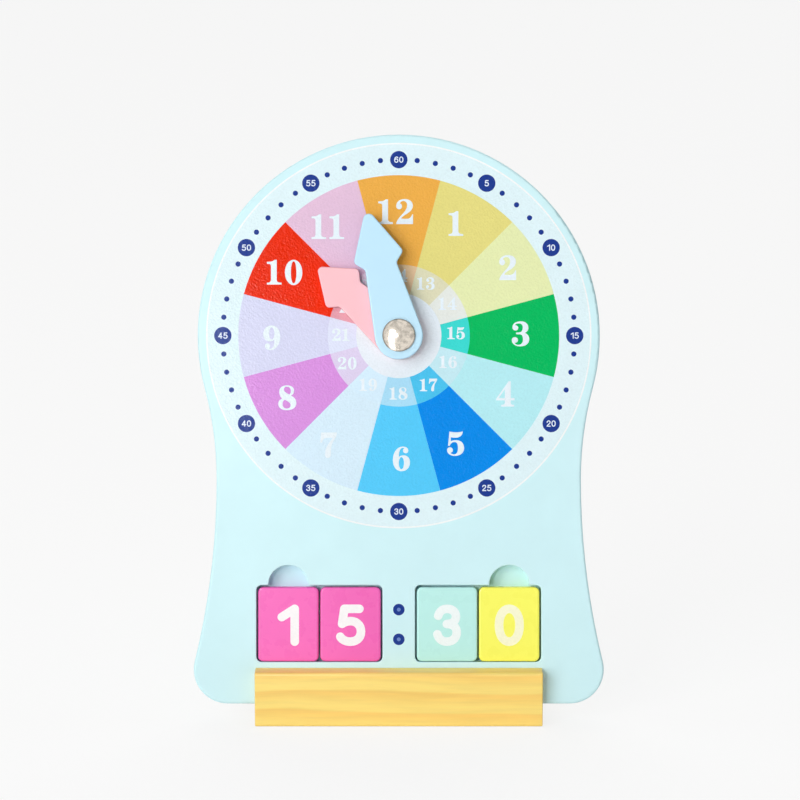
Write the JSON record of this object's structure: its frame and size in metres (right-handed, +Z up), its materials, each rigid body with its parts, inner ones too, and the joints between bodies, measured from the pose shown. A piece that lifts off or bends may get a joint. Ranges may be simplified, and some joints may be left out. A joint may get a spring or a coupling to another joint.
{
  "type": "teaching clock",
  "caption": "Wooden teaching clock: a printed dial with hands turned by finger, pockets of lift-out number tiles, and a slotted bar that the leaning board stands in.",
  "frame": {"origin": "middle of the stand bar's underside, on the surface it stands on", "axes": "+Z up, +X to the right of someone reading the clock, +Y away from them; the board leans back 10 degrees towards +Y"},
  "size_m": [0.156, 0.0521, 0.2206],
  "materials": {
    "pine": "satin",
    "painted_board": "satin",
    "minute_paint": "satin",
    "hour_paint": "satin",
    "tile_pink": "satin",
    "tile_mint": "satin",
    "tile_yellow": "satin",
    "nickel": "polished",
    "washer_nylon": "matt"
  },
  "bodies": {
    "stand": {"stand_bar": "pine"},
    "clock_board": {"front_panel": "painted_board", "back_panel": "painted_board", "rivet_front": "nickel", "rivet_back": "nickel", "dial_washer": "washer_nylon", "hand_washer": "washer_nylon", "back_washer": "washer_nylon"},
    "hour_hand": {"hour_hand": "hour_paint"},
    "minute_hand": {"minute_hand": "minute_paint"},
    "hours_tens_tile": {"hours_tens_tile": "tile_pink"},
    "hours_units_tile": {"hours_units_tile": "tile_pink"},
    "minutes_tens_tile": {"minutes_tens_tile": "tile_mint"},
    "minutes_units_tile": {"minutes_units_tile": "tile_yellow"}
  },
  "joints": [
    {"name": "board_lift", "type": "slide", "parent": "stand", "child": "clock_board", "axis": [0, 0.1736, 0.9848], "range_m": [0, 0.02]},
    {"name": "hour_hand_turn", "type": "hinge", "parent": "clock_board", "child": "hour_hand", "pos_m": [0, 0.00713, 0.14537], "axis": [0, 0.9848, -0.1736], "continuous": true},
    {"name": "minute_hand_turn", "type": "hinge", "parent": "clock_board", "child": "minute_hand", "pos_m": [0, 0.00713, 0.14537], "axis": [0, 0.9848, -0.1736], "continuous": true},
    {"name": "hours_tens_tile_lift", "type": "slide", "parent": "clock_board", "child": "hours_tens_tile", "axis": [0, -0.9848, 0.1736], "range_m": [0, 0.015]},
    {"name": "hours_units_tile_lift", "type": "slide", "parent": "clock_board", "child": "hours_units_tile", "axis": [0, -0.9848, 0.1736], "range_m": [0, 0.015]},
    {"name": "minutes_tens_tile_lift", "type": "slide", "parent": "clock_board", "child": "minutes_tens_tile", "axis": [0, -0.9848, 0.1736], "range_m": [0, 0.015]},
    {"name": "minutes_units_tile_lift", "type": "slide", "parent": "clock_board", "child": "minutes_units_tile", "axis": [0, -0.9848, 0.1736], "range_m": [0, 0.015]}
  ]
}
